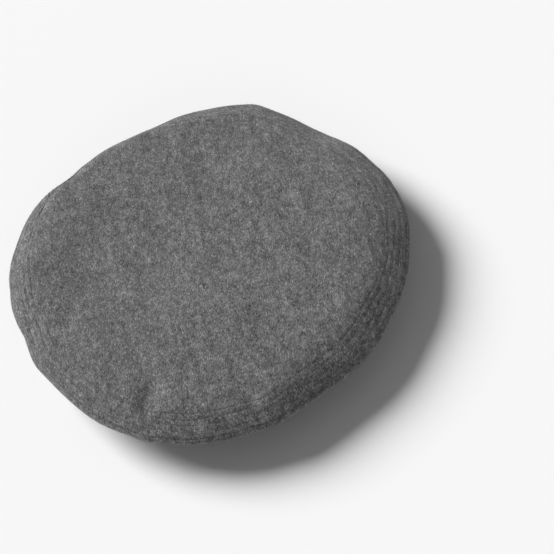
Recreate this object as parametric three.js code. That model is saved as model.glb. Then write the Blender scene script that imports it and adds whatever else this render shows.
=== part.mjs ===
// A pakol, the soft round woollen cap that is worn on the crown of the head.
// It rests on its rolled band, right side up. Millimetres, +Z up, the origin on
// the floor under the middle of the crown's outline.
//
// It is sewn from three cloths: a round crown whose edge is turned under, a wide
// tube whose top is stitched flat under the crown's border and whose lower part
// is rolled up into the band that grips the head, and a satin lining.
//
// Every cloth is worked out section by section around the band's axis. A section
// is a row of points given by radius and height, and the tables below say where
// the soft cloth leaves its regular form.
import * as THREE from "three";

// Cloth
const WOOL = 2.8; // thickness of the milled wool
const SATIN = 1; // thickness of the lining
const SEAM_GAP = 0.3; // clearance between two cloths that are sewn together

// Rolled band
const HEAD_ROUND = 570; // the head's circumference inside the band
const ROLL_HALF_WIDTH = 16.5;
const ROLL_HALF_HEIGHT = 13; // less than its width, from the weight of the cloth
const ROLL_PRESSED = 0.8; // how far the roll is flattened where it rests
const ROLL_CENTRE_RADIUS = HEAD_ROUND / (2 * Math.PI) + ROLL_HALF_WIDTH;
const ROLL_CENTRE_HEIGHT = ROLL_HALF_HEIGHT - ROLL_PRESSED;

// Crown
const CROWN_RADIUS = 134.5; // to the fold of its edge, before the waves below
const CROWN_HEIGHT = 38; // top of the cloth in the middle
const CROWN_FALL = 2.5; // how much lower its dome would be at the edge
const EDGE_HEIGHT = 26; // middle of the folded edge
const BORDER_SLOPE = 0.53; // the border's fall for each millimetre outwards
const BACK_SLOPE = 1.4; // and at the back, where the border droops
const BACK_ANGLE = 110;
const BACK_SPREAD = 22;
const SHOULDER = 1.8; // softness of the bend from the border to the dome
const LIP = 7; // width of the crown's edge that is turned under
const BORDER = 20; // width of the stitched border, where the tube lies under it

// Neck, where the tube leaves the border and goes down into the roll
const NECK_RADIUS = ROLL_CENTRE_RADIUS - 10.6; // its face towards the head
const NECK_HEIGHT = 25.6;
const GROOVE_ANGLE = 122; // around the roll, where the neck's outer face meets it
const NECK_SIDE = 150; // where the face towards the head leaves the roll

// Lining
const LINING_GAP = 1; // between the crown and the lining under it
const LINING_RADIUS = NECK_RADIUS - 2.4;
const LINING_EDGE_HEIGHT = 23.2;
const LINING_BEND = 6; // how far in from its edge it has turned level

// Waves of the crown's folded edge. Its radius and height change by out and up at
// the angle at, in degrees, and the change fades over spread degrees either side.
const EDGE_WAVES = [
  { at: 17, spread: 7, out: -1.5, up: -1 },
  { at: 38, spread: 15, out: -4.7, up: -3 },
  { at: 62, spread: 4, out: 1.4, up: 0 },
  { at: 67, spread: 13, out: 3.7, up: 0 },
  { at: 85, spread: 6, out: 1.5, up: 0 },
  { at: 106, spread: 17, out: 2.3, up: -5 },
  { at: 110, spread: 5, out: 0.6, up: 0 },
  { at: 125, spread: 4, out: -1.4, up: 0 },
  { at: 133, spread: 6, out: 0.7, up: 0 },
  { at: 143, spread: 21, out: 8.9, up: -2 },
  { at: 148, spread: 5, out: -0.7, up: 0 },
  { at: 161, spread: 6, out: 0.8, up: 0 },
  { at: 173, spread: 6, out: 0.7, up: 0 },
  { at: 185, spread: 5, out: -1.5, up: 0 },
  { at: 196, spread: 5, out: 1.1, up: 0 },
  { at: 200, spread: 22, out: -4.3, up: 1 },
  { at: 213, spread: 8, out: -0.9, up: 0 },
  { at: 240, spread: 4, out: 1.2, up: 0 },
  { at: 252, spread: 6, out: 1.4, up: 0 },
  { at: 256, spread: 20, out: 2, up: 0 },
  { at: 263, spread: 5, out: 1.2, up: 0 },
  { at: 274, spread: 5, out: 2.5, up: 0 },
  { at: 291, spread: 7, out: -1.5, up: 0 },
  { at: 310, spread: 26, out: 0, up: -2.5 },
  { at: 319, spread: 7, out: -1.2, up: 0 },
  { at: 353, spread: 7, out: 1.2, up: 0 },
];

// Hollows and swellings of the crown's top. Each lies at an angle and at a
// distance inset from the folded edge, and fades over across millimetres along
// the radius and along millimetres around it. A negative rise is a hollow.
const CROWN_DENTS = [
  { at: 162, inset: 59, across: 15, along: 60, rise: -2.8 },
  { at: 162, inset: 90, across: 28, along: 58, rise: -2.3 },
  { at: 184, inset: 29, across: 7, along: 10, rise: -1 },
  { at: 199, inset: 21, across: 6, along: 11, rise: -1.1 },
  { at: 238, inset: 19, across: 14, along: 6, rise: -3 },
  { at: 248, inset: 21, across: 13, along: 10, rise: 1.3 },
  { at: 53, inset: 14, across: 8, along: 9, rise: -2.4 },
  { at: 66, inset: 12, across: 9, along: 12, rise: 1 },
  { at: 272, inset: 18, across: 13, along: 16, rise: -1.6 },
  { at: 303, inset: 16, across: 10, along: 20, rise: -0.8 },
  { at: 352, inset: 32, across: 12, along: 34, rise: 0.8 },
  { at: 75, inset: 60, across: 16, along: 20, rise: -0.9 },
];

// Creases across the roll, from the neck round to the groove.
const BAND_CREASES = [
  { at: 6, spread: 2.2, depth: 1.7 },
  { at: 13, spread: 2.4, depth: 2.6 },
  { at: 20, spread: 2.2, depth: 2 },
  { at: 27, spread: 2.6, depth: 2.8 },
  { at: 96, spread: 3, depth: 1.6 },
  { at: 151, spread: 3, depth: 1.4 },
  { at: 229, spread: 2.2, depth: 2 },
  { at: 236, spread: 2.2, depth: 2.8 },
  { at: 243, spread: 2.4, depth: 2.2 },
  { at: 312, spread: 3, depth: 1.5 },
];

// Pleats of the lining, which hang deepest between its bend and halfway in.
const LINING_PLEATS = [
  { at: 2, spread: 5, depth: 2.2 },
  { at: 14, spread: 5, depth: 3 },
  { at: 27, spread: 6, depth: 2.4 },
  { at: 112, spread: 9, depth: 1.8 },
  { at: 176, spread: 8, depth: 2.4 },
  { at: 190, spread: 5, depth: 1.8 },
  { at: 244, spread: 7, depth: 2.6 },
  { at: 306, spread: 9, depth: 1.8 },
];

// Fineness of the facets: degrees between sections, and where each has its points
const WOOL_STEP = 5;
const LINING_STEP = 6;
const CROWN_RINGS = [0.16, 0.3, 0.44, 0.56, 0.66, 0.74, 0.8, 0.85, 0.9, 0.95, 1];
const UNDER_RINGS = [0.88, 0.72, 0.5, 0.25];
const LINING_RINGS = [0.25, 0.45, 0.62, 0.75, 0.85, 0.91, 0.96, 1];
const FOLD_TURNS = [0.25, 0.5, 0.75];
const ROLL_ANGLES = [98, 76, 54, 32, 10, -12, -34, -54, -71, -109, -126, -146, -168, 170];

// A bell-shaped weight: 1 at no distance, and nearly 0 past twice the spread.
const bell = (distance, spread) => Math.exp(-((distance / spread) ** 2));

// The signed difference between two angles, from -180 to 180 degrees.
const turn = (from, to) => ((((to - from) % 360) + 540) % 360) - 180;

const sumOver = (rows, value) => rows.reduce((sum, row) => sum + value(row), 0);

const toRadians = THREE.MathUtils.degToRad;

// Radius and height of the crown's folded edge.
function edgeAt(degrees) {
  const wave = (key) =>
    sumOver(EDGE_WAVES, (w) => w[key] * bell(turn(w.at, degrees), w.spread));
  return {
    radius: CROWN_RADIUS + wave("out"),
    height: EDGE_HEIGHT + wave("up"),
  };
}

// The border's fall for each millimetre outwards, at an angle.
function borderSlopeAt(degrees) {
  const droop = bell(turn(BACK_ANGLE, degrees), BACK_SPREAD);
  return BORDER_SLOPE + (BACK_SLOPE - BORDER_SLOPE) * droop;
}

// How far the crown's top is dented or swollen.
function dentAt(degrees, radius) {
  const inset = edgeAt(degrees).radius - radius;
  return sumOver(CROWN_DENTS, (d) => {
    const around = toRadians(turn(d.at, degrees)) * radius;
    return d.rise * bell(inset - d.inset, d.across) * bell(around, d.along);
  });
}

// Height of the crown's under face, which runs midway through the turned edge. It
// is a low dome that bends, with a soft shoulder, into the straight fall of the
// border: the lower of the two, rounded off where they cross.
function midHeight(degrees, radius) {
  const edge = edgeAt(degrees);
  const inset = Math.max(edge.radius - WOOL - radius, 0);
  const dome =
    CROWN_HEIGHT - WOOL - CROWN_FALL * (radius / edge.radius) ** 2 +
    dentAt(degrees, radius);
  const above = dome - edge.height - borderSlopeAt(degrees) * inset;
  return dome - SHOULDER * Math.log1p(Math.exp(above / SHOULDER));
}

// The point at a distance from that line, along the line's normal.
function offMid(degrees, radius, distance) {
  const step = 0.5;
  const rise =
    midHeight(degrees, radius + step) - midHeight(degrees, radius - step);
  const slope = rise / (2 * step);
  const length = Math.hypot(slope, 1);
  return {
    radius: radius - (distance * slope) / length,
    height: midHeight(degrees, radius) + distance / length,
  };
}

// Radius of the middle of the crown's turned edge.
const foldRadiusAt = (degrees) => edgeAt(degrees).radius - WOOL;

// Radii at which both wool cloths have points under the border, from inside out.
function borderRadii(degrees) {
  const foldRadius = foldRadiusAt(degrees);
  const inner = foldRadius - BORDER;
  const outer = foldRadius - LIP;
  return [inner, (inner + outer) / 2, outer];
}

// The crown's section: out over its top, round the turned edge, in under the lip
// and on along its under face.
function crownSection(degrees) {
  const foldRadius = foldRadiusAt(degrees);
  const lipRadius = foldRadius - LIP;
  const foldHeight = midHeight(degrees, foldRadius);
  const top = CROWN_RINGS.map((share) => offMid(degrees, foldRadius * share, WOOL));
  const start = Math.atan2(
    top.at(-1).height - foldHeight,
    top.at(-1).radius - foldRadius,
  );
  const fold = FOLD_TURNS.map((share) => ({
    radius: foldRadius + WOOL * Math.cos(start - Math.PI * share),
    height: foldHeight + WOOL * Math.sin(start - Math.PI * share),
  }));
  const lip = [foldRadius, lipRadius].map((r) => offMid(degrees, r, -WOOL));
  const border = borderRadii(degrees);
  const underRadii = [
    ...border.toReversed(),
    ...UNDER_RINGS.map((share) => border[0] * share),
  ];
  const under = underRadii.map((r) => offMid(degrees, r, 0));
  const middle = { radius: 0, height: CROWN_HEIGHT };
  const middleUnder = { radius: 0, height: CROWN_HEIGHT - WOOL };
  return [middle, ...top, ...fold, ...lip, ...under, middleUnder];
}

// How far the creases draw the roll in.
const creaseAt = (degrees) =>
  sumOver(BAND_CREASES, (c) => c.depth * bell(turn(c.at, degrees), c.spread));

// A point on the outside of the roll, at an angle around the roll's own middle.
function onRoll(degrees, around) {
  const halfWidth = ROLL_HALF_WIDTH - creaseAt(degrees);
  const halfHeight = ROLL_HALF_HEIGHT - creaseAt(degrees);
  const height = ROLL_CENTRE_HEIGHT + halfHeight * Math.sin(toRadians(around));
  return {
    radius: ROLL_CENTRE_RADIUS + halfWidth * Math.cos(toRadians(around)),
    height: Math.max(height, 0),
  };
}

// The tube's section: out along the crown's under face beside the lip, back under
// it, down the neck's outer face, once round the roll and up the neck again.
function bandSection(degrees) {
  const [inner, halfway, lipRadius] = borderRadii(degrees);
  const outer = lipRadius - SEAM_GAP;
  const over = [inner, halfway, outer].map((r) => offMid(degrees, r, -SEAM_GAP));
  const under = [outer, halfway, inner + WOOL / 2].map((r) =>
    offMid(degrees, r, -WOOL),
  );
  const angles = [GROOVE_ANGLE, ...ROLL_ANGLES, NECK_SIDE];
  const round = angles.map((around) => onRoll(degrees, around));
  const neck = { radius: NECK_RADIUS, height: NECK_HEIGHT };
  return [...over, ...under, ...round, neck];
}

// The lining's section: out over its upper face, round its edge and back below.
function liningSection(degrees) {
  const pleats = sumOver(
    LINING_PLEATS,
    (p) => p.depth * bell(turn(p.at, degrees), p.spread),
  );
  const upper = LINING_RINGS.map((share) => {
    const radius = LINING_RADIUS * share;
    const bend = bell(LINING_RADIUS - radius, LINING_BEND);
    const level =
      midHeight(degrees, radius) - LINING_GAP - pleats * share * (1 - bend);
    return { radius, height: level + (LINING_EDGE_HEIGHT - level) * bend };
  });
  const lower = upper.map((p) => ({ ...p, height: p.height - SATIN })).reverse();
  const middle = { radius: 0, height: CROWN_HEIGHT - WOOL - LINING_GAP };
  const middleUnder = { radius: 0, height: middle.height - SATIN };
  return [middle, ...upper, ...lower, middleUnder];
}

// Angles every step degrees, and also on the middle and flanks of narrow folds.
function anglesFor(step, folds = []) {
  const regular = Array.from({ length: 360 / step }, (_, i) => i * step);
  const narrow = folds.flatMap((f) => [f.at - f.spread, f.at, f.at + f.spread]);
  const clear = regular.filter((angle) =>
    narrow.every((n) => Math.abs(turn(n, angle)) > step / 3),
  );
  return [...clear, ...narrow].sort((a, b) => a - b);
}

// A closed surface through sections that go once round the axis. A section is a
// closed ring by itself, or begins and ends on the axis. Each patch between two
// sections is split from its inner corner on one to its outer corner on the next,
// so that two cloths that lie on each other are split alike.
function loft(angles, sectionAt) {
  const sections = angles.map(sectionAt);
  const place = (point, degrees) =>
    new THREE.Vector3(
      point.radius * Math.cos(toRadians(degrees)),
      point.radius * Math.sin(toRadians(degrees)),
      point.height,
    );
  const corners = [];
  const addFace = (a, b, c) => {
    if (!a.equals(b) && !b.equals(c) && !c.equals(a)) corners.push(a, b, c);
  };
  const isOpen = sections[0][0].radius === 0;
  sections.forEach((section, i) => {
    const following = (i + 1) % sections.length;
    const here = section.map((p) => place(p, angles[i]));
    const next = sections[following].map((p) => place(p, angles[following]));
    for (let j = 0; j < (isOpen ? here.length - 1 : here.length); j++) {
      const k = (j + 1) % here.length;
      if (section[k].radius > section[j].radius) {
        addFace(here[j], here[k], next[k]);
        addFace(here[j], next[k], next[j]);
      } else {
        addFace(here[j], here[k], next[j]);
        addFace(next[j], here[k], next[k]);
      }
    }
  });
  return new THREE.BufferGeometry().setFromPoints(corners);
}

// The middle of the crown's outline seen from above.
function middleOfOutline(angles) {
  const outline = angles.map((degrees) =>
    new THREE.Vector3(edgeAt(degrees).radius, 0, 0).applyAxisAngle(
      new THREE.Vector3(0, 0, 1),
      toRadians(degrees),
    ),
  );
  return new THREE.Box3().setFromPoints(outline).getCenter(new THREE.Vector3());
}

function cloth(name, geometry, color, roughness) {
  geometry.computeVertexNormals();
  const material = new THREE.MeshStandardMaterial({ color, roughness, metalness: 0 });
  const mesh = new THREE.Mesh(geometry, material);
  mesh.name = name;
  return mesh;
}

const woolAngles = anglesFor(WOOL_STEP, BAND_CREASES);
const liningAngles = anglesFor(LINING_STEP);

const pakol = new THREE.Group();
pakol.add(
  cloth("crown", loft(woolAngles, crownSection), 0x6b6b6b, 0.95),
  cloth("rolled_band", loft(woolAngles, bandSection), 0x666666, 0.95),
  cloth("lining", loft(liningAngles, liningSection), 0x8b8b8b, 0.5),
);
pakol.position.copy(middleOfOutline(woolAngles)).negate();

export default pakol;
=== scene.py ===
import math

import bpy
import numpy as np
from mathutils import Matrix, Vector


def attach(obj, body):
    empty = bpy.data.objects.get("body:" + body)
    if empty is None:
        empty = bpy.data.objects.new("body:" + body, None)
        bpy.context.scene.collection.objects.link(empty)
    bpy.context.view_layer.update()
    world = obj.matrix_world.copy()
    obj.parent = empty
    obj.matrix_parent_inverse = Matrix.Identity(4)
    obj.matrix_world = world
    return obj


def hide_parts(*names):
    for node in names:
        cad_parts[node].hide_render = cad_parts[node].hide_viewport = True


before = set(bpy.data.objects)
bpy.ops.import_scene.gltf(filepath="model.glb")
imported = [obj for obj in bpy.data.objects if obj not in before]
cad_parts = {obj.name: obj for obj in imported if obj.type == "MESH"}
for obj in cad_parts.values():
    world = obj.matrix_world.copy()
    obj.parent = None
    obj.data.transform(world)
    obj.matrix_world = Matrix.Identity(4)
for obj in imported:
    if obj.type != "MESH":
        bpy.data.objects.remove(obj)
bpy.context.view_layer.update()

# A pakol, the soft round woollen cap, resting on its rolled band. Every cloth is
# worked out as sections around the band's axis: a point has an angle in degrees
# and a radius and a height in millimetres, which place() turns into metres.

MM = 0.001

# Cloth
WOOL = 2.8
SATIN = 1.0
SEAM_GAP = 0.3

# Rolled band
HEAD_ROUND = 570
ROLL_HALF_WIDTH = 16.5
ROLL_HALF_HEIGHT = 13
ROLL_PRESSED = 0.8
ROLL_CENTRE_RADIUS = HEAD_ROUND / (2 * math.pi) + ROLL_HALF_WIDTH
ROLL_CENTRE_HEIGHT = ROLL_HALF_HEIGHT - ROLL_PRESSED
ROLL_START = 152  # angle around the roll where the neck's cloth joins it
ROLL_DUCKS = 476  # and where, once round, it ducks under itself in the groove
ROLL_DUCK_SPREAD = 17
ROLL_END = 1050
ROLL_PITCH = 3.1  # from one turn of cloth to the next
ROLL_STEPS = (60, 26)  # in the outer turn, and in the turns inside it
TUBE_SEAM = 84  # angle around the hat of the seam that closes the tube
SEAM_SPREAD = 0.45
SEAM_DEPTH = 0.9

# Crown
CROWN_RADIUS = 134.5
CROWN_HEIGHT = 38
CROWN_FALL = 2.5
EDGE_HEIGHT = 26
BORDER_SLOPE = 0.53
BACK_SLOPE = 1.4  # at the back, where the border droops
BACK_ANGLE = 110
BACK_SPREAD = 22
SHOULDER = 1.8
LIP = 7
LIP_CLEARANCE = 0.6  # between the lip and the tube, beside the seam's gap
BORDER = 20
FINE_MARGIN = 6  # how far inside the border its finer steps start
DOME_STEPS = 42
DOME_POWER = 0.9  # below 1, the dome's steps lie closer towards the border
BORDER_STEPS = 60
FOLD_STEPS = 10

# Neck, where the tube leaves the border and goes down into the roll
NECK_RADIUS = ROLL_CENTRE_RADIUS - 10.6
NECK_LEAVES = 2.2  # how far its curve runs on the way it leaves the border
NECK_ARRIVES = 9  # and the way it arrives at the roll
NECK_STEPS = 16
FLANGE_STEPS = 24  # of the tube under the border, before the neck
BELOW_FLANGE = 40  # steps that reach from the border to below the lining's edge

# Lining
LINING_GAP = 1
LINING_EDGE_HEIGHT = 26
LINING_BEND = 4
UPPER_STEPS = 34
LOWER_STEPS = 84

# Stitching
ROWS = (4, 7, 10.3, 13.6, 17)  # distance of each row from the folded edge
ROW_WANDER = 0.7
ROW_DEPTH = 0.12
ROW_WIDTH = 0.65
STITCH = 3.4
STITCH_GAP = 0.5
THREAD = 0.2  # half the thread's width

# Loose fibres
FIBRE = 0.035  # half a fibre's width
FIBRE_LENGTH = (0.7, 2.2)
FIBRE_RISE = (8, 32)  # angle to the cloth in degrees
RIM_STEEPER = 1.6
EVEN_POWER = 0.556  # with the dome's power, spreads them evenly over its area


def table(columns, *rows):
    """Named columns of numbers, an array for each."""
    return dict(zip(columns.split(), np.array(rows, float).T))


# Waves of the folded edge: the middle and spread of each in degrees, and how far it
# moves the edge out and up
EDGE_WAVES = table(
    "at spread out up",
    (17, 7, -1.5, -1),
    (38, 15, -4.7, -3),
    (62, 4, 1.4, 0),
    (67, 13, 3.7, 0),
    (85, 6, 1.5, 0),
    (106, 17, 2.3, -5),
    (110, 5, 0.6, 0),
    (125, 4, -1.4, 0),
    (133, 6, 0.7, 0),
    (143, 21, 8.9, -2),
    (148, 5, -0.7, 0),
    (161, 6, 0.8, 0),
    (173, 6, 0.7, 0),
    (185, 5, -1.5, 0),
    (196, 5, 1.1, 0),
    (200, 22, -4.3, 1),
    (213, 8, -0.9, 0),
    (240, 4, 1.2, 0),
    (252, 6, 1.4, 0),
    (256, 20, 2, 0),
    (263, 5, 1.2, 0),
    (274, 5, 2.5, 0),
    (291, 7, -1.5, 0),
    (310, 26, 0, -2.5),
    (319, 7, -1.2, 0),
    (353, 7, 1.2, 0),
)
# Hollows and swellings of the crown: the angle and the distance inside the edge, the
# spread across and along the edge, and the rise, which is negative in a hollow
CROWN_DENTS = table(
    "at inset across along rise",
    (165, 58, 16, 55, -1.1),
    (165, 92, 42, 62, -3.7),
    (175, 58, 13, 15, -1.3),
    (190, 30, 8, 13, -2),
    (199, 21, 6, 11, -1.1),
    (238, 20, 15, 7.5, -2.9),
    (248, 21, 13, 10, 1.3),
    (53, 14, 8, 9, -2.4),
    (66, 12, 9, 12, 1),
    (272, 18, 13, 16, -1.6),
    (303, 16, 10, 20, -0.8),
    (352, 32, 12, 34, 0.8),
    (75, 60, 16, 20, -0.9),
)
# Where the thread was pulled tighter: a row, counted from 0 at the edge, sinks deeper
# there and is drawn inwards. A negative number makes it less deep, or draws it outwards
TIGHT_ROWS = table(
    "row at spread deeper drawn",
    (0, 285, 55, -0.1, 0),
    (1, 285, 45, -0.06, 0),
    (4, 131, 10, 0.3, -5),
    (4, 154, 20, 0.5, 0.5),
    (4, 190, 20, 0.35, 0.3),
    (3, 166, 12, 0.2, 0),
    (3, 192, 22, 0.5, -0.3),
    (2, 206, 9, 0.2, 0),
    (3, 262, 8, 0.15, 0),
    (4, 262, 12, 0.2, 0),
    (4, 318, 26, 0.05, 0),
    (3, 334, 14, 0.16, 0),
    (1, 332, 14, 0.1, 0),
    (2, 340, 20, 0.1, 0),
    (4, 12, 16, 0.15, 0),
)
# Creases across the roll: bow is how many degrees round the hat each swings as it
# crosses the roll
BAND_CREASES = table(
    "at spread depth bow",
    (3, 1.3, 1.6, 1.5),
    (8, 1.2, 2.6, 3),
    (14.5, 1.4, 2.2, 3.5),
    (21, 1.2, 3, 2.5),
    (28, 1.5, 2.2, 1.5),
    (47, 2, 0.9, -2),
    (96, 1.8, 1.4, 2),
    (117, 1.5, 0.9, 2),
    (151, 1.8, 1.3, -2),
    (193, 2, 1, 2),
    (226, 1.4, 1.8, -2),
    (232, 1.2, 2.9, -3),
    (239, 1.4, 2, -2),
    (246, 1.3, 2.4, -3),
    (283, 2, 0.9, 2),
    (312, 1.8, 1.4, 2),
    (338, 1.5, 1, -2),
)
# Pleats of the lining: the angle at the edge, half the width, how far each reaches
# inwards, its depth, and how many degrees it leans from the radius
LINING_PLEATS = table(
    "at across reach depth lean",
    (1, 4, 84, 2.6, 9),
    (12, 3, 70, 2.1, 5),
    (22, 4.5, 90, 2.6, -3),
    (36, 3, 46, 1.4, 12),
    (74, 5, 52, 1.5, -16),
    (112, 6, 60, 1.6, 14),
    (150, 4, 44, 1.3, -12),
    (174, 4.5, 78, 2.3, -8),
    (188, 3.2, 66, 1.8, -3),
    (203, 4, 50, 1.3, 8),
    (243, 5, 74, 2.2, 10),
    (257, 3.4, 50, 1.4, 4),
    (304, 6, 58, 1.6, -14),
    (334, 4, 46, 1.3, 12),
)


def bell(distance, spread):
    """1 at no distance, and nearly 0 past twice the spread."""
    return np.exp(-((distance / spread) ** 2))


def turn(start, end):
    """The signed difference between two angles, from -180 to 180 degrees."""
    return (end - start + 180) % 360 - 180


def smooth(share):
    """0 below 0, 1 above 1, and between them a curve that is level at both ends."""
    share = np.clip(share, 0, 1)
    return share * share * (3 - 2 * share)


def lumps(across, along, seed, repeat=64):
    """Random heights from -1 to 1 at whole numbers, with smooth slopes between them.

    The pattern repeats after that many cells across, so that it can close on a ring.
    """
    lattice = np.random.default_rng(seed).uniform(-1, 1, (repeat, 64))
    i, j = np.floor(across).astype(int), np.floor(along).astype(int)
    u, v = smooth(across - i), smooth(along - j)
    here, there = i % repeat, (i + 1) % repeat
    low, high = j % 64, (j + 1) % 64
    first = lattice[here, low] * (1 - u) + lattice[there, low] * u
    second = lattice[here, high] * (1 - u) + lattice[there, high] * u
    return first * (1 - v) + second * v


def edge_at(degrees):
    """Radius and height of the folded edge: a circle plus a bell for each wave."""
    fade = bell(turn(EDGE_WAVES["at"], degrees[..., None]), EDGE_WAVES["spread"])
    return CROWN_RADIUS + fade @ EDGE_WAVES["out"], EDGE_HEIGHT + fade @ EDGE_WAVES["up"]


def slope_at(degrees):
    """The border's fall for each millimetre outwards, steepest at the back."""
    droop = bell(turn(BACK_ANGLE, degrees), BACK_SPREAD)
    return BORDER_SLOPE + (BACK_SLOPE - BORDER_SLOPE) * droop


def dent_at(degrees, radius):
    """Sum of the hollows and swellings, each a bell of the distance inside the edge times
    one of the straight distance from its place at the same radius. The edge's waves
    fade out towards the middle, where all directions meet."""
    wave = (edge_at(degrees)[0] - CROWN_RADIUS) * smooth(1.6 * radius / CROWN_RADIUS)
    inset = (CROWN_RADIUS + wave - radius)[..., None]
    half_turn = np.radians(turn(CROWN_DENTS["at"], degrees[..., None])) / 2
    around = 2 * radius[..., None] * np.sin(half_turn)
    fade = bell(inset - CROWN_DENTS["inset"], CROWN_DENTS["across"])
    return (fade * bell(around, CROWN_DENTS["along"])) @ CROWN_DENTS["rise"]


def mid_height(degrees, radius):
    """Height of the crown's under face: the lower of a shallow dome and the border's
    straight fall from the edge, rounded off where they cross."""
    edge_radius, edge_height = edge_at(degrees)
    inset = np.maximum(edge_radius - WOOL - radius, 0)
    fall = CROWN_FALL * (radius / edge_radius) ** 2
    dome = CROWN_HEIGHT - WOOL - fall + dent_at(degrees, radius)
    above = dome - edge_height - slope_at(degrees) * inset
    return dome - SHOULDER * np.log1p(np.exp(above / SHOULDER))


def off_mid(degrees, radius, distance):
    """Radius and height at a distance from that line, along its normal."""
    step = 0.5
    rise = mid_height(degrees, radius + step) - mid_height(degrees, radius - step)
    slope = rise / (2 * step)
    length = np.hypot(slope, 1)
    return radius - distance * slope / length, mid_height(degrees, radius) + distance / length


def plan(degrees, radius):
    """The point seen from above."""
    return radius * np.cos(np.radians(degrees)), radius * np.sin(np.radians(degrees))


def middle_of_outline():
    """The middle of the crown's outline seen from above, which is the part's origin."""
    degrees = np.arange(0, 360, 0.25)
    x, y = plan(degrees, edge_at(degrees)[0])
    return (x.min() + x.max()) / 2, (y.min() + y.max()) / 2


MIDDLE = middle_of_outline()


def place(degrees, radius, height):
    """Metres in the part's frame, from degrees and millimetres around the hat's axis."""
    x, y = plan(degrees, radius)
    return np.stack([x - MIDDLE[0], y - MIDDLE[1], height + 0 * x], axis=-1) * MM


def at_tight_rows(row, degrees, column):
    """Sum of a column of the table over the tight stretches of one row."""
    values = TIGHT_ROWS[column] * (TIGHT_ROWS["row"] == row)
    return bell(turn(TIGHT_ROWS["at"], degrees[..., None]), TIGHT_ROWS["spread"]) @ values


def row_inset(row, degrees):
    """How far inside the edge a row of stitches runs, seen from above: less where the
    border is steep, wandering a little, and drawn in or out where the table says."""
    slow = lumps(degrees / 24, 0 * degrees + 7 * row, 12, 15)
    quick = lumps(degrees / 6, 0 * degrees + 3 * row, 11, 60)
    level = math.hypot(1, BORDER_SLOPE) / np.hypot(1, slope_at(degrees))
    drawn = at_tight_rows(row, degrees, "drawn")
    return ROWS[row] * level + drawn + ROW_WANDER * (slow + 0.35 * quick)


def row_pull(row, degrees):
    """How deep a row sinks: its usual depth, uneven, and more where it is tight."""
    uneven = 1 + 0.55 * lumps(degrees / 7.2, 0 * degrees + 5 * row, 13, 50)
    return ROW_DEPTH * uneven + at_tight_rows(row, degrees, "deeper")


def row_depth(degrees, inset):
    """How deep the rows of stitches draw the cloth in: a bell across each row."""
    drawn = sum(
        row_pull(row, degrees) * bell(inset - row_inset(row, degrees), ROW_WIDTH)
        for row in range(len(ROWS))
    )
    return drawn * smooth((inset - WOOL) / 1.5)


def pucker(degrees, inset):
    """Small ripples of the cloth between the rows, which fade out past the border."""
    ripples = lumps(degrees / 2.5, inset / 3.4, 5, 144) + lumps(degrees / 4.5, inset / 7, 6, 80)
    return 0.15 * ripples * smooth((BORDER + 3 - inset) / 5)


def slack(degrees, radius):
    """Unevenness of soft cloth over the whole crown, in three sizes."""
    x, y = plan(degrees, radius)
    return (
        0.3 * lumps(x / 31, y / 31, 1)
        + 0.08 * lumps(x / 12, y / 12, 2)
        + 0.03 * lumps(x / 4.5, y / 4.5, 3)
    )


def build(name, points, uvs, closed_across=True, poles=(False, False)):
    """A mesh from a grid of points that closes around the axis.

    points has a row for each section. closed_across joins each section's end to its
    start, and a pole is a section's end that all sections share. uvs has one more row
    and column than faces need, so that the pattern doesn't run back at the seam.
    """
    sections, steps = points.shape[:2]
    i, j = np.meshgrid(np.arange(sections), np.arange(steps - (not closed_across)), indexing="ij")
    i, j = i.ravel(), j.ravel()
    corners = np.stack([i, j, i, j + 1, i + 1, j + 1, i + 1, j], axis=-1).reshape(-1, 4, 2)
    index = (corners[..., 0] % sections) * steps + corners[..., 1] % steps
    if poles[0]:
        index[index % steps == 0] = 0
    if poles[1]:
        index[index % steps == steps - 1] = steps - 1
    coordinates = uvs[corners[..., 0], corners[..., 1]]
    keep = np.ones((len(index), 4), bool)
    for side in range(4):
        keep[:, side] = index[:, side] != index[:, (side + 1) % 4]
    used, vertex = np.unique(index[keep], return_inverse=True)
    sizes = keep.sum(axis=1)
    mesh = bpy.data.meshes.new(name)
    mesh.vertices.add(len(used))
    mesh.vertices.foreach_set("co", points.reshape(-1, 3)[used].ravel())
    mesh.loops.add(len(vertex))
    mesh.loops.foreach_set("vertex_index", vertex.ravel())
    mesh.polygons.add(len(sizes))
    mesh.polygons.foreach_set("loop_start", np.concatenate([[0], np.cumsum(sizes)[:-1]]))
    mesh.polygons.foreach_set("use_smooth", np.ones(len(sizes), bool))
    layer = mesh.uv_layers.new(name="cloth")
    layer.data.foreach_set("uv", coordinates[keep].ravel())
    mesh.update(calc_edges=True)
    mesh.validate()
    piece = bpy.data.objects.new(name, mesh)
    bpy.context.scene.collection.objects.link(piece)
    return piece


def lengths(radius, height):
    """Distance along each section from its first point, in millimetres."""
    steps = np.hypot(np.diff(radius, axis=1), np.diff(height, axis=1))
    return np.concatenate([np.zeros((len(radius), 1)), np.cumsum(steps, axis=1)], axis=1)


def ring(sections):
    """Angles of the sections as a column, for whole arrays of sections at once."""
    return (np.arange(sections) * 360 / sections)[:, None]


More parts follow.
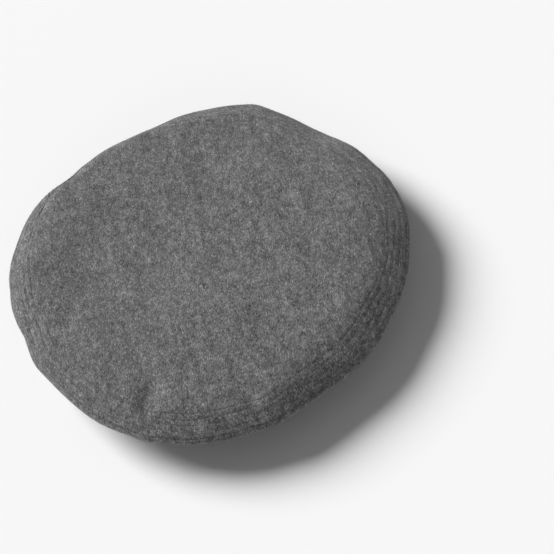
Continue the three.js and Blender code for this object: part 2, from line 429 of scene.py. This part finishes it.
def crown_grid(sections=560):
    """Angles, radii and heights of the crown's closed section, and how far each point
    lies from the cloth's middle, measured along the cloth.

    Out over the top, offset from the under face by the cloth's thickness, its slack
    and its puckers, less the rows' depth; half round the fold on a circle of that
    thickness; in under the lip, whose cut end is rounded; and on along the under face
    to the middle.
    """
    degrees = ring(sections)
    edge_radius = edge_at(degrees)[0]
    fold_radius = edge_radius - WOOL
    border_start = fold_radius - BORDER - FINE_MARGIN
    dome = border_start * np.linspace(0, 1, DOME_STEPS, endpoint=False) ** DOME_POWER
    border = border_start + (fold_radius - border_start) * np.linspace(0, 1, BORDER_STEPS)
    top = np.concatenate([dome, border], axis=1)
    angles = np.broadcast_to(degrees, top.shape)
    inset = edge_radius - top
    relief = slack(angles, top) + pucker(angles, inset) - row_depth(angles, inset)
    top_radius, top_height = off_mid(angles, top, WOOL + relief)

    fold_height = mid_height(degrees, fold_radius)
    rise, out = top_height[:, -1:] - fold_height, top_radius[:, -1:] - fold_radius
    start = np.arctan2(rise, out)
    share = np.linspace(0, 1, FOLD_STEPS + 2)[1:-1]
    thickness = np.hypot(rise, out) * (1 - share) + WOOL * share
    around = start - math.pi * share
    fold = fold_radius + thickness * np.cos(around), fold_height + thickness * np.sin(around)

    lip_radii = fold_radius - LIP * np.linspace(0, 0.97, 15)
    lip_angles = np.broadcast_to(degrees, lip_radii.shape)
    lip_relief = row_depth(lip_angles, edge_radius - lip_radii)
    lip = off_mid(lip_angles, lip_radii, lip_relief - WOOL)
    cut_share = np.array([[0.8, 0.5, 0.2]])
    cut_radii = fold_radius - LIP * np.array([[0.995, 1, 0.995]])
    cut = off_mid(np.broadcast_to(degrees, cut_radii.shape), cut_radii, -WOOL * cut_share)
    under_radii = (fold_radius - LIP) * np.linspace(0.99, 0, 18)
    under = off_mid(np.broadcast_to(degrees, under_radii.shape), under_radii, 0)

    middle = lengths(*off_mid(angles, top, WOOL / 2))[:, -1]
    cut_size = float(middle.mean()) + math.pi / 2 * WOOL + LIP
    parts = [(top_radius, top_height), fold, lip, cut, under]
    radius = np.concatenate([part[0] for part in parts], axis=1)
    height = np.concatenate([part[1] for part in parts], axis=1)
    radius[:, 0] = radius[:, -1] = 0
    height[:, 0] = height[:, 1].mean()
    height[:, -1] = height[:, -2].mean()
    turned = top_radius.shape[1] + share.size + lip_radii.shape[1]
    walked = lengths(radius, height)
    end = walked[:, turned - 1 : turned]
    walked = np.where(walked > end, np.maximum(2 * end - walked, 0), walked)
    return degrees, radius, height, walked, cut_size


def crown():
    """The crown's cloth, a round cut whose edge is turned under."""
    degrees, radius, height, walked, cut_size = crown_grid()
    angles = np.broadcast_to(degrees, radius.shape)
    x, y = plan(angles, walked)
    flat = np.stack([x, y], axis=-1) * MM
    flat = np.concatenate([flat, flat[:1]])
    points = place(angles, radius, height)
    piece = build("crown_cloth", points, flat, closed_across=False, poles=(True, True))
    cut_radius = cut_size * MM
    2 * cut_radius
    2 * cut_radius
    math.pi * cut_radius**2
    return piece


def crease_at(degrees, around):
    """How far the creases draw the roll in. Each falls off on both sides of a sharp
    bottom, bows as it crosses the roll and is deepest on the side facing down."""
    bowed = degrees[..., None] + BAND_CREASES["bow"] * np.sin(np.radians(around))[..., None]
    fade = np.exp(-np.abs(turn(BAND_CREASES["at"], bowed)) / BAND_CREASES["spread"])
    facing = 0.35 + 1.05 * bell(turn(238, around), 85)
    seam = SEAM_DEPTH * bell(turn(TUBE_SEAM, degrees), SEAM_SPREAD)
    return (fade @ BAND_CREASES["depth"]) * facing + seam


def on_roll(degrees, around):
    """The middle of the rolled cloth: an ellipse that shrinks by one pitch each time it
    ducks into the groove, drawn in at the creases, a little uneven in two sizes, and
    pressed flat on the floor."""
    duck = (around - ROLL_DUCKS) / 360
    fraction = (duck - np.floor(duck)) * 360 / (2 * ROLL_DUCK_SPREAD)
    depth = WOOL / 2 + ROLL_PITCH * np.maximum(np.floor(duck) + smooth(fraction), 0)
    small = lumps(degrees / 6, around / 40, 21, 60)
    large = lumps(degrees / 20, around / 90, 22, 18)
    uneven = 0.22 * small + 0.5 * large
    drawn = depth + crease_at(degrees, around) + uneven
    radius = ROLL_CENTRE_RADIUS + (ROLL_HALF_WIDTH - drawn) * np.cos(np.radians(around))
    height = ROLL_CENTRE_HEIGHT + (ROLL_HALF_HEIGHT - drawn) * np.sin(np.radians(around))
    return radius, np.maximum(height, depth)


def unit(x, y):
    """The same direction with length 1."""
    length = np.hypot(x, y)
    return x / length, y / length


def closer_at_creases(sections):
    """Angles of the sections as a column, up to four times closer near the creases."""
    degrees = np.arange(0, 360, 0.05)
    at = np.append(BAND_CREASES["at"], TUBE_SEAM)
    count = np.cumsum(1 + 3 * bell(turn(at, degrees[:, None]), 2.2).max(axis=1))
    wanted = np.arange(sections) * count[-1] / sections
    return np.interp(wanted, count - count[0], degrees)[:, None]


def band_grid(sections=380):
    """Angles, radii and heights of the tube's closed section.

    Its middle line runs in along the crown's border, down a cubic curve that leaves
    in the border's direction and arrives in the roll's, and then round the roll.
    The two faces lie half the cloth's thickness either side, with round ends.
    """
    degrees = closer_at_creases(sections)
    fold_radius = edge_at(degrees)[0] - WOOL
    outer, inner = fold_radius - LIP - SEAM_GAP - LIP_CLEARANCE, fold_radius - BORDER
    flange_radii = outer + (inner - outer) * np.linspace(0, 1, FLANGE_STEPS)
    angles = np.broadcast_to(degrees, flange_radii.shape)
    flange = off_mid(angles, flange_radii, -(WOOL + SEAM_GAP) / 2)

    turns = np.concatenate([
        np.linspace(ROLL_START, ROLL_DUCKS + 2 * ROLL_DUCK_SPREAD, ROLL_STEPS[0], endpoint=False),
        np.linspace(ROLL_DUCKS + 2 * ROLL_DUCK_SPREAD, ROLL_END, ROLL_STEPS[1]),
    ])[None, :]
    roll_angles = np.broadcast_to(degrees, (sections, turns.size))
    roll = on_roll(roll_angles, np.broadcast_to(turns, roll_angles.shape))

    leaves = unit(flange[0][:, -1:] - flange[0][:, -3:-2], flange[1][:, -1:] - flange[1][:, -3:-2])
    arrives = unit(roll[0][:, 1:2] - roll[0][:, :1], roll[1][:, 1:2] - roll[1][:, :1])
    share = np.linspace(0, 1, NECK_STEPS + 2)[1:-1]
    neck = [
        (1 - share) ** 3 * flange[k][:, -1:]
        + 3 * (1 - share) ** 2 * share * (flange[k][:, -1:] + NECK_LEAVES * leaves[k])
        + 3 * (1 - share) * share**2 * (roll[k][:, :1] - NECK_ARRIVES * arrives[k])
        + share**3 * roll[k][:, :1]
        for k in (0, 1)
    ]
    radius = np.concatenate([flange[0], neck[0], roll[0]], axis=1)
    height = np.concatenate([flange[1], neck[1], roll[1]], axis=1)

    along = unit(np.gradient(radius, axis=1), np.gradient(height, axis=1))
    half = np.full_like(radius, WOOL / 2)
    half[:, : flange_radii.shape[1]] = (WOOL - SEAM_GAP) / 2
    rows = row_depth(angles, edge_at(angles)[0] - flange_radii)
    lower = half.copy()
    lower[:, : flange_radii.shape[1]] -= rows
    side_a = radius - along[1] * half, height + along[0] * half
    side_b = radius + along[1] * lower, height - along[0] * lower
    return degrees, side_a, side_b, (radius, height), along


def band():
    """The tube of wool that is stitched under the border and rolled up below."""
    degrees, side_a, side_b, middle, along = band_grid()
    ends = []
    for end, sign in ((-1, 1), (0, -1)):
        cap = np.array([60, 0, -60]) * sign
        tip = [middle[k][:, end : end + 1 or None] for k in (0, 1)]
        way = [along[k][:, end : end + 1 or None] for k in (0, 1)]
        half = WOOL / 2 if end else (WOOL - SEAM_GAP) / 2
        forward, across = sign * half * np.cos(np.radians(cap)), half * np.sin(np.radians(cap))
        ends.append((
            tip[0] + way[0] * forward - way[1] * across,
            tip[1] + way[1] * forward + way[0] * across,
        ))
    radius = np.concatenate([side_a[0], ends[0][0], side_b[0][:, ::-1], ends[1][0]], axis=1)
    height = np.concatenate([side_a[1], ends[0][1], side_b[1][:, ::-1], ends[1][1]], axis=1)
    angles = np.broadcast_to(degrees, radius.shape)

    walked = lengths(*middle)
    steps = walked.shape[1]
    down = np.concatenate([
        np.arange(steps), [steps - 1] * 3, np.arange(steps)[::-1], [0] * 3, [0],
    ])
    around = np.radians(np.append(degrees, 360 + degrees[0])) * NECK_RADIUS
    rows = np.concatenate([walked, walked[:1]])[:, down]
    flat = np.stack([np.broadcast_to(around[:, None], rows.shape), rows], axis=-1) * MM
    piece = build("band_cloth", place(angles, radius, height), flat)
    return piece


def pleats_at(x, y, edge_radius):
    """How far the pleats hang: each is a bell across a line that starts at the edge,
    leans from the radius and wavers a little, and fades out along its reach."""
    at = np.radians(LINING_PLEATS["at"])
    heading = at + np.radians(LINING_PLEATS["lean"])
    from_x = x[..., None] - edge_radius * np.cos(at)
    from_y = y[..., None] - edge_radius * np.sin(at)
    inwards = -from_x * np.cos(heading) - from_y * np.sin(heading)
    across = from_x * np.sin(heading) - from_y * np.cos(heading)
    across = across + 1.8 * lumps(inwards / 24, 0 * inwards + 9 * at, 33)
    fade = 1 - smooth(inwards / LINING_PLEATS["reach"])
    shape = bell(across, LINING_PLEATS["across"] * (1.25 - 0.5 * fade))
    return (shape * fade) @ LINING_PLEATS["depth"]


def neck_radius(sections):
    """Radius of the neck's inner face at the height of the lining's edge: between the
    last step of each section above that height and the first below it."""
    degrees, _, inner, _, _ = band_grid(sections)
    neck = slice(FLANGE_STEPS, FLANGE_STEPS + BELOW_FLANGE)
    radius, height = inner[0][:, neck], inner[1][:, neck]
    below = (height < LINING_EDGE_HEIGHT - SATIN / 2).argmax(axis=1)[:, None]
    high, low = (np.take_along_axis(height, below + step, axis=1) for step in (-1, 0))
    share = (high - LINING_EDGE_HEIGHT + SATIN / 2) / (high - low)
    outer, nearer = (np.take_along_axis(radius, below + step, axis=1) for step in (-1, 0))
    found = outer + share * (nearer - outer)
    return np.interp(ring(sections)[:, 0], degrees[:, 0], found[:, 0], period=360)[:, None]


def lining_grid(sections=360):
    """Angles, radii and heights of the lining's closed section.

    Its upper face lies a gap below the crown, and lower by its pleats, by gathers near
    the edge and by loose creases. It bends down to a level edge at the neck, and the
    lower face lies a satin's thickness below it.
    """
    degrees = ring(sections)
    edge_radius = neck_radius(sections) - SATIN / 2 - SEAM_GAP

    def face(steps, drop):
        share = np.linspace(0, 1, steps)[None, :]
        radius = edge_radius * share
        angles = np.broadcast_to(degrees, radius.shape)
        spread = LINING_BEND * (1 + 0.3 * lumps(angles / 4, 0 * angles, 34, 90))
        bend = bell(edge_radius - radius, spread)
        x, y = plan(angles, radius)
        pleats = pleats_at(x, y, float(edge_radius.mean()))
        gathers = 0.3 * (1 + lumps(angles / 3, radius / 40, 31, 120)) * smooth(share * 3 - 1.9)
        creases = 0.5 * (1 + lumps(x / 17, y / 26, 32)) * smooth(share * 4)
        hang = (pleats + gathers + creases) * (1 - bend)
        level = mid_height(angles, radius) - LINING_GAP - hang
        return radius, level + (LINING_EDGE_HEIGHT - level) * bend - drop

    upper, lower = face(UPPER_STEPS, 0), face(LOWER_STEPS, SATIN)
    hem = np.radians([[50, 0, -50]])
    hem_radius = edge_radius + SATIN / 2 * np.cos(hem)
    hem_height = upper[1][:, -1:] - SATIN / 2 + SATIN / 2 * np.sin(hem)
    radius = np.concatenate([upper[0], hem_radius, lower[0][:, ::-1]], axis=1)
    height = np.concatenate([upper[1], hem_height, lower[1][:, ::-1]], axis=1)
    height[:, 0] = height[:, 1].mean()
    height[:, -1] = height[:, -2].mean()
    return degrees, radius, height


def lining():
    """The satin sheet under the crown, sewn to the neck by its edge."""
    degrees, radius, height = lining_grid()
    angles = np.broadcast_to(degrees, radius.shape)
    x, y = plan(angles, radius)
    flat = np.stack([x, y], axis=-1) * MM
    flat = np.concatenate([flat, flat[:1]])
    points = place(angles, radius, height)
    piece = build("lining_cloth", points, flat, closed_across=False, poles=(True, True))
    return piece


def threads(name, lines, normals, thickness, sides):
    """One mesh with a short tube around each line of points, closed at both ends.

    Each point of a line has a ring around it, square to the line there, and thickness
    gives half the tube's width at each.
    """
    count, steps = lines.shape[:2]
    forward = np.gradient(lines, axis=1)
    forward /= np.linalg.norm(forward, axis=-1, keepdims=True)
    across = np.cross(normals[:, None, :], forward)
    across /= np.linalg.norm(across, axis=-1, keepdims=True)
    up = np.cross(forward, across)
    turns = (np.arange(sides) * 2 * math.pi / sides)[:, None]
    circle = across[:, :, None, :] * np.cos(turns) + up[:, :, None, :] * np.sin(turns)
    points = (lines[:, :, None, :] + circle * thickness[:, None, None]).reshape(-1, 3)
    i, j = np.meshgrid(np.arange(steps - 1), np.arange(sides), indexing="ij")
    i, j = i.ravel(), j.ravel()
    k = (j + 1) % sides
    quads = np.stack([i * sides + j, i * sides + k, (i + 1) * sides + k, (i + 1) * sides + j], -1)
    caps = np.stack([np.arange(sides)[::-1], (steps - 1) * sides + np.arange(sides)])
    first = np.arange(count)[:, None, None] * sides * steps
    faces = (quads + first).reshape(-1, 4).tolist() + (caps + first).reshape(-1, sides).tolist()
    mesh = bpy.data.meshes.new(name)
    mesh.from_pydata(points, [], faces)
    mesh.polygons.foreach_set("use_smooth", np.ones(len(mesh.polygons), bool))
    mesh.validate()
    piece = bpy.data.objects.new(name, mesh)
    bpy.context.scene.collection.objects.link(piece)
    return piece


def stitches(name, middles, tangents, normals, length, half):
    """A short thread at each middle: its thickness follows half a sine along its
    length, and it bows up so that its two ends go down into the cloth."""
    share = np.linspace(0, 1, 6)
    lift = np.sin(math.pi * share)
    lines = (
        middles[:, None, :]
        + tangents[:, None, :] * ((share - 0.5) * length)[:, None]
        + normals[:, None, :] * ((lift - 0.75) * 2 * half)[:, None]
    )
    thickness = half * (0.35 + 0.65 * lift) * (share > 0) * (share < 1) + 0.1 * half
    return threads(name, lines, normals, thickness, 6)


def nap(name, over_top, at_rim):
    """Loose fibres that stand off the crown, more and steeper ones round its rim. Each
    starts in the cloth, leaves it at an angle and bends to a side as a parabola."""
    degrees, radius, height, _, _ = crown_grid()
    grid = place(np.broadcast_to(degrees, radius.shape), radius, height)
    random = np.random.default_rng(41)
    count = over_top + at_rim
    section = random.uniform(0, len(grid), count)
    column = np.concatenate([
        DOME_STEPS * random.uniform(0.001, 1, over_top) ** EVEN_POWER,
        random.uniform(DOME_STEPS + 2, DOME_STEPS + BORDER_STEPS + FOLD_STEPS, at_rim),
    ])
    i, j = section.astype(int), column.astype(int)
    u, v = (section - i)[:, None], (column - j)[:, None]
    here, further = grid[i, j], grid[i, j + 1]
    beside, opposite = grid[(i + 1) % len(grid), j], grid[(i + 1) % len(grid), j + 1]
    feet = (here * (1 - v) + further * v) * (1 - u) + (beside * (1 - v) + opposite * v) * u
    normals = np.cross(further - here, beside - here)
    normals /= np.linalg.norm(normals, axis=-1, keepdims=True)
    outwards = further - here
    outwards /= np.linalg.norm(outwards, axis=-1, keepdims=True)
    sideways = np.cross(normals, outwards)
    heading = random.uniform(0, 2 * math.pi, (count, 1))
    rise = np.radians(random.uniform(*FIBRE_RISE, (count, 1)))
    rise[over_top:] *= RIM_STEEPER
    length = random.uniform(*FIBRE_LENGTH, (count, 1)) * MM
    along = outwards * np.cos(heading) + sideways * np.sin(heading)
    bend = sideways * np.cos(heading) - outwards * np.sin(heading)
    share = np.linspace(0, 1, 4)[:, None]
    reach = (along * np.cos(rise) + normals * np.sin(rise)) * length
    swing = (bend * random.uniform(-0.5, 0.5, (count, 1)) - normals * 0.12) * length
    roots = feet - 0.1 * MM * normals
    lines = roots[:, None] + reach[:, None] * share + swing[:, None] * share**2
    thickness = FIBRE * MM * np.array([1, 1, 0.8, 0.2])
    return threads(name, lines, normals, thickness, 3)


def directions(point_at, degrees):
    """Places, directions along the row and normals of a surface given by an angle and
    an inset, from small steps along both."""
    middles = point_at(degrees, 0.0)
    tangents = point_at(degrees + 0.2, 0.0) - point_at(degrees - 0.2, 0.0)
    inwards = point_at(degrees, 0.5) - point_at(degrees, -0.5)
    tangents /= np.linalg.norm(tangents, axis=-1, keepdims=True)
    normals = np.cross(inwards, tangents)
    normals /= np.linalg.norm(normals, axis=-1, keepdims=True)
    return middles, tangents, normals


def border_stitches(name, offset, facing):
    """The rows of topstitching round the border, on the face at that offset from the
    crown's under face. facing is 1 on top and -1 below."""
    parts = []
    for row, distance in enumerate(ROWS):
        count = int(2 * math.pi * (CROWN_RADIUS - distance) / STITCH)
        degrees = (np.arange(count) + 0.37 * row) * 360 / count

        def point_at(angle, step):
            radius = edge_at(angle)[0] - row_inset(row, angle) - step
            relief = slack(angle, radius) * (facing > 0) - facing * row_pull(row, angle)
            return place(angle, *off_mid(angle, radius, offset + relief))

        middles, tangents, normals = directions(point_at, degrees)
        parts.append((middles, tangents, facing * normals))
    joined = [np.concatenate([part[k] for part in parts]) for k in range(3)]
    return stitches(name, *joined, (STITCH - STITCH_GAP) * MM, THREAD * MM)


class Wire:
    """A socket that can be used in arithmetic. Each operation adds a Math node."""

    def __init__(self, finish, socket):
        self.finish = finish
        self.socket = socket

    def math(self, operation, *values):
        settings = {"operation": operation}
        return self.finish.node("ShaderNodeMath", settings, dict(enumerate(values)))

    def __add__(self, other):
        return self.math("ADD", self, other)

    def __radd__(self, other):
        return self.math("ADD", other, self)

    def __sub__(self, other):
        return self.math("SUBTRACT", self, other)

    def __rsub__(self, other):
        return self.math("SUBTRACT", other, self)

    def __mul__(self, other):
        return self.math("MULTIPLY", self, other)

    def __rmul__(self, other):
        return self.math("MULTIPLY", other, self)

    def __pow__(self, other):
        return self.math("POWER", self, other)

    def between(self, low, high):
        """0 at low, 1 at high, and straight between them."""
        settings = {"interpolation_type": "LINEAR", "clamp": True}
        inputs = {"Value": self, "From Min": low, "From Max": high}
        return self.finish.node("ShaderNodeMapRange", settings, inputs)


class Finish:
    """A material with its Principled shader, and one method that adds any other node."""

    def __init__(self, name, **constants):
        self.material = bpy.data.materials.new(name)
        self.material.use_nodes = True
        self.nodes = self.material.node_tree.nodes
        self.links = self.material.node_tree.links
        self.shader = self.nodes["Principled BSDF"]
        for key, value in constants.items():
            self.shader.inputs[key.replace("_", " ")].default_value = value

    def node(self, kind, settings=None, inputs=None, output=0):
        """Adds a node: its settings first, then the values or wires of its sockets."""
        node = self.nodes.new(kind)
        for key, value in (settings or {}).items():
            setattr(node, key, value)
        for key, value in (inputs or {}).items():
            self.feed(node.inputs[key], value)
        return Wire(self, node.outputs[output])

    def feed(self, socket, value):
        """Links a wire to the socket, or sets the value on it."""
        if isinstance(value, Wire):
            self.links.new(value.socket, socket)
        else:
            socket.default_value = value

    def shade(self, **wires):
        """Feeds the shader's sockets, named with _ for a space."""
        for key, value in wires.items():
            self.feed(self.shader.inputs[key.replace("_", " ")], value)

    def cloth_place(self, turned=0.0, stretch=(1, 1, 1)):
        """The cloth's own flat coordinates in metres, turned and stretched."""
        uv = self.node("ShaderNodeUVMap", {"uv_map": "cloth"})
        inputs = {"Vector": uv, "Rotation": (0, 0, turned)}
        rotated = self.node("ShaderNodeMapping", {"vector_type": "POINT"}, inputs)
        scaled = {0: rotated, 1: stretch}
        return self.node("ShaderNodeVectorMath", {"operation": "MULTIPLY"}, scaled)

    def noise(self, place, size, detail=2.0, roughness=0.5, distortion=0.0, dimensions="2D"):
        """Smooth noise about 0.5 whose cells are size millimetres wide."""
        inputs = {
            "Vector": place,
            "Scale": 1 / (size * MM),
            "Detail": detail,
            "Roughness": roughness,
            "Distortion": distortion,
        }
        return self.node("ShaderNodeTexNoise", {"noise_dimensions": dimensions}, inputs)

    def colour(self, factor, first, second):
        """The first colour where factor is 0, and the second where it is 1."""
        inputs = {0: factor, 6: (*first, 1), 7: (*second, 1)}
        return self.node("ShaderNodeMix", {"data_type": "RGBA"}, inputs, output=2)

    def bump(self, height, distance):
        """Relief of that distance in millimetres where height goes from 0 to 1."""
        inputs = {"Height": height, "Distance": distance * MM, "Strength": 1.0}
        return self.node("ShaderNodeBump", inputs=inputs)

    def strands(self, turned, width, length, low, high):
        """Where fibres lie: 1 on the ridges of noise drawn out along one direction."""
        place = self.cloth_place(turned, (1, width / length, 1))
        return self.noise(place, width, 1.5, 0.6, 0.25).between(low, high)


GAMMA = 2.2  # from a colour's lightness as the eye sees it to its share of light


def grey(value):
    """A neutral colour that reflects that share of the light."""
    return (value, value, value)


def wool(name, grain, level):
    """Milled melange wool. Its lightness, as the eye sees it, drifts in patches drawn
    out along the grain, then in tufts, and then from one light or dark fibre to the
    next; the colour is that lightness to the power of a display's gamma."""
    finish = Finish(name, Roughness=0.95, Sheen_Weight=0.25, Sheen_Roughness=0.5)
    patches = finish.noise(finish.cloth_place(grain, (1, 0.3, 1)), 13, 1, 0.7)
    tufts = finish.noise(finish.cloth_place(grain, (1, 0.55, 1)), 4, 2.5, 0.9)
    light = finish.strands(grain, 0.48, 2.4, 0.50, 0.64)
    pale = finish.strands(grain + 0.5, 0.54, 2.2, 0.56, 0.68)
    dark = finish.strands(grain - 0.3, 0.48, 2.4, 0.50, 0.64)
    black = finish.strands(grain - 0.8, 0.54, 1.8, 0.56, 0.68)
    drift = (patches - 0.5) * 0.12 + (tufts - 0.5) * 0.45
    fibres = light * 0.12 + pale * 0.145 - dark * 0.112 - black * 0.13
    lightness = drift + fibres + level
    finish.shade(Base_Color=finish.colour(lightness**GAMMA, grey(0), grey(1)))
    nap = light * 0.5 + pale * 0.4 - dark * 0.35 - black * 0.3 + tufts
    finish.shade(Normal=finish.bump(nap, 0.16))
    return finish.material


def satin(name):
    """Satin: fine threads one way that catch the light, and slight streaks."""
    finish = Finish(name, Roughness=0.42, Sheen_Weight=0.1, Sheen_Roughness=0.4)
    weave = finish.noise(finish.cloth_place(0.2, (1, 0.06, 1)), 0.3, 2)
    streak = finish.noise(finish.cloth_place(0.2, (1, 0.12, 1)), 3, 2)
    factor = (weave * 0.6 + streak * 0.4).between(0.25, 0.75)
    finish.shade(Base_Color=finish.colour(factor, grey(0.215), grey(0.285)))
    finish.shade(Roughness=0.36 + streak * 0.14)
    finish.shade(Normal=finish.bump(weave, 0.03))
    return finish.material


def thread(name, size, low, high):
    """Spun thread or a fibre: darker and lighter along its length."""
    finish = Finish(name, Roughness=0.7, Sheen_Weight=0.15)
    coordinates = finish.node("ShaderNodeTexCoord", output=3)
    twist = finish.noise(coordinates, size, 2, dimensions="3D")
    factor = twist.between(0.35, 0.65)
    finish.shade(Base_Color=finish.colour(factor, grey(low), grey(high)))
    finish.shade(Normal=finish.bump(twist, 0.06))
    return finish.material


def dress(piece, material, slot_name, *nodes):
    """Gives a piece its material, ties it to the hat and hides the named CAD parts; slot_name is
    not used.
    """
    piece.data.materials.append(material)
    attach(piece, "root")
    if nodes:
        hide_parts(*nodes)


def floor():
    """A wide pale floor under the hat."""
    mesh = bpy.data.meshes.new("floor")
    far = 30.0
    corners = [(-far, -far, 0), (far, -far, 0), (far, far, 0), (-far, far, 0)]
    mesh.from_pydata(corners, [], [(0, 1, 2, 3)])
    piece = bpy.data.objects.new("floor", mesh)
    bpy.context.scene.collection.objects.link(piece)
    finish = Finish("pale_floor", Roughness=0.9, Base_Color=(*grey(0.96), 1))
    mesh.materials.append(finish.material)


def distant_light(name, azimuth, elevation, strength, width):
    """A soft light far off: the directions it comes from span the width, in degrees."""
    around, up = math.radians(azimuth), math.radians(elevation)
    towards = Vector((math.cos(around), math.sin(around), math.tan(up))).normalized()
    light = bpy.data.lights.new(name, "SUN")
    light.energy = strength
    light.angle = math.radians(width)
    lamp = bpy.data.objects.new(name, light)
    lamp.rotation_euler = towards.to_track_quat("Z", "Y").to_euler()
    bpy.context.scene.collection.objects.link(lamp)


def lighting():
    """A large soft light to the left and a little behind, a faint one low in front, and
    pale light all round."""
    distant_light("key", azimuth=134, elevation=36.5, strength=4.2, width=32)
    distant_light("fill", azimuth=265, elevation=8, strength=0.5, width=60)
    world = bpy.data.worlds.new("studio")
    world.use_nodes = True
    background = world.node_tree.nodes["Background"]
    background.inputs["Color"].default_value = (1, 1, 1, 1)
    background.inputs["Strength"].default_value = 0.14
    bpy.context.scene.world = world
    bpy.context.scene.view_settings.view_transform = "Standard"


# The view: how high and how far the camera stands, how far it leans about its own
# axis, and where in the picture the hat's axis is seen at the height of the edge
VIEW_ELEVATION = 52.23
VIEW_LEAN = 18.57
VIEW_DISTANCE = 1.01975
PICTURE = 554
AXIS_SEEN = (207.85, 262.65)
LENS = 100
SENSOR = 36


def camera():
    """A camera that sees the hat's axis at its place in the picture, with no shift."""
    e, lean = math.radians(VIEW_ELEVATION), math.radians(VIEW_LEAN)
    back = Vector((0, -math.cos(e), math.sin(e)))
    right = Vector((1, 0, 0))
    up = back.cross(right)
    picture_right = right * math.cos(lean) - up * math.sin(lean)
    picture_up = right * math.sin(lean) + up * math.cos(lean)
    pixel = VIEW_DISTANCE * SENSOR / (LENS * PICTURE)
    across, down = ((seen - PICTURE / 2) * pixel for seen in AXIS_SEEN)
    target = Vector((-MIDDLE[0], -MIDDLE[1], EDGE_HEIGHT)) * MM
    place_seen = target + back * VIEW_DISTANCE - picture_right * across + picture_up * down
    data = bpy.data.cameras.new("camera")
    data.lens = LENS
    data.sensor_width = SENSOR
    data.sensor_fit = "HORIZONTAL"
    data.clip_end = 80
    eye = bpy.data.objects.new("camera", data)
    axes = Matrix((picture_right, picture_up, back)).transposed()
    eye.matrix_world = Matrix.Translation(place_seen) @ axes.to_4x4()
    bpy.context.scene.collection.objects.link(eye)
    bpy.context.scene.camera = eye


camera()
lighting()
floor()

GRAIN = math.radians(2)  # the nap lies nearly the way the hat faces
crown_wool = wool("crown_wool", grain=GRAIN, level=0.392)
band_wool = wool("band_wool", grain=0.0, level=0.385)
sewing_thread = thread("sewing_thread", size=0.5, low=0.04, high=0.085)
loose_fibres = thread("loose_fibres", size=1.5, low=0.05, high=0.4)

dress(crown(), crown_wool, "crown_wool", "crown")
dress(band(), band_wool, "band_wool", "rolled_band")
dress(lining(), satin("lining_satin"), "lining_satin", "lining")
dress(border_stitches("border_stitches", WOOL, 1), sewing_thread, "crown_wool")
dress(border_stitches("under_stitches", -WOOL, -1), sewing_thread, "band_wool")
dress(nap("crown_nap", over_top=3900, at_rim=5900), loose_fibres, "crown_wool")
